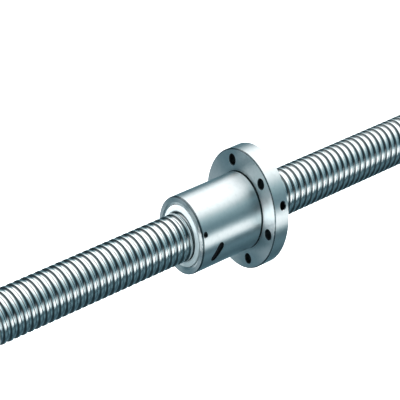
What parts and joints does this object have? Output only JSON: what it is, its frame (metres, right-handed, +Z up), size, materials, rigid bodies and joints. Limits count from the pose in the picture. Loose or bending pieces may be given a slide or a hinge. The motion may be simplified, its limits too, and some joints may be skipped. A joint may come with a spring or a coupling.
{
  "type": "ball screw assembly",
  "caption": "Right-hand ball screw with a round flanged ball nut that travels along it, wiper rings, internal ball deflectors and recirculating balls.",
  "frame": {"origin": "on the screw axis, in the plane of the flange's mounting face (the face towards the nut's cylindrical body), which at rest is also the middle of the bounding box", "axes": "+X along the screw from the nut's plain nose towards its flange, +Z up through the first bolt hole, angles turn from +Z towards -Y"},
  "size_m": [0.436, 0.062, 0.062],
  "materials": {
    "ground_steel": "ground thread, lightly oiled",
    "polished_steel": "finely ground and polished",
    "bearing_steel": "mirror polished",
    "white_plastic": "satin",
    "dark_plastic": "matt",
    "black_steel": "black oxide"
  },
  "bodies": {
    "screw": {"screw_shaft": "ground_steel"},
    "wipers": {"front_wiper": "white_plastic", "rear_wiper": "white_plastic"},
    "nut": {"nut_body": "polished_steel", "wiper_set_screw": "black_steel", "deflector_1": "dark_plastic", "deflector_2": "dark_plastic", "ball_1_01": "bearing_steel", "ball_1_02": "bearing_steel", "ball_1_03": "bearing_steel", "ball_1_04": "bearing_steel", "ball_1_05": "bearing_steel", "ball_1_06": "bearing_steel", "ball_1_07": "bearing_steel", "ball_1_08": "bearing_steel", "ball_1_09": "bearing_steel", "ball_1_10": "bearing_steel", "ball_1_11": "bearing_steel", "ball_1_12": "bearing_steel", "ball_1_13": "bearing_steel", "ball_1_14": "bearing_steel", "ball_1_15": "bearing_steel", "ball_1_16": "bearing_steel", "ball_1_17": "bearing_steel", "ball_1_18": "bearing_steel", "ball_1_19": "bearing_steel", "ball_1_20": "bearing_steel", "ball_1_21": "bearing_steel", "ball_1_22": "bearing_steel", "ball_1_23": "bearing_steel", "ball_1_24": "bearing_steel", "ball_2_01": "bearing_steel", "ball_2_02": "bearing_steel", "ball_2_03": "bearing_steel", "ball_2_04": "bearing_steel", "ball_2_05": "bearing_steel", "ball_2_06": "bearing_steel", "ball_2_07": "bearing_steel", "ball_2_08": "bearing_steel", "ball_2_09": "bearing_steel", "ball_2_10": "bearing_steel", "ball_2_11": "bearing_steel", "ball_2_12": "bearing_steel", "ball_2_13": "bearing_steel", "ball_2_14": "bearing_steel", "ball_2_15": "bearing_steel", "ball_2_16": "bearing_steel", "ball_2_17": "bearing_steel", "ball_2_18": "bearing_steel", "ball_2_19": "bearing_steel", "ball_2_20": "bearing_steel", "ball_2_21": "bearing_steel", "ball_2_22": "bearing_steel", "ball_2_23": "bearing_steel", "ball_2_24": "bearing_steel"}
  },
  "joints": [
    {"name": "nut_travel", "type": "slide", "parent": "screw", "child": "wipers", "axis": [1, 0, 0], "range_m": [-0.1401, 0.1501]},
    {"name": "nut_spin", "type": "hinge", "parent": "wipers", "child": "nut", "pos_m": [0, 0, 0], "axis": [1, 0, 0], "range_deg": [-10080, 10800]}
  ],
  "couplings": [
    {"joint": "nut_travel", "follows": "nut_spin", "m_per_rad": 0.00079577}
  ]
}
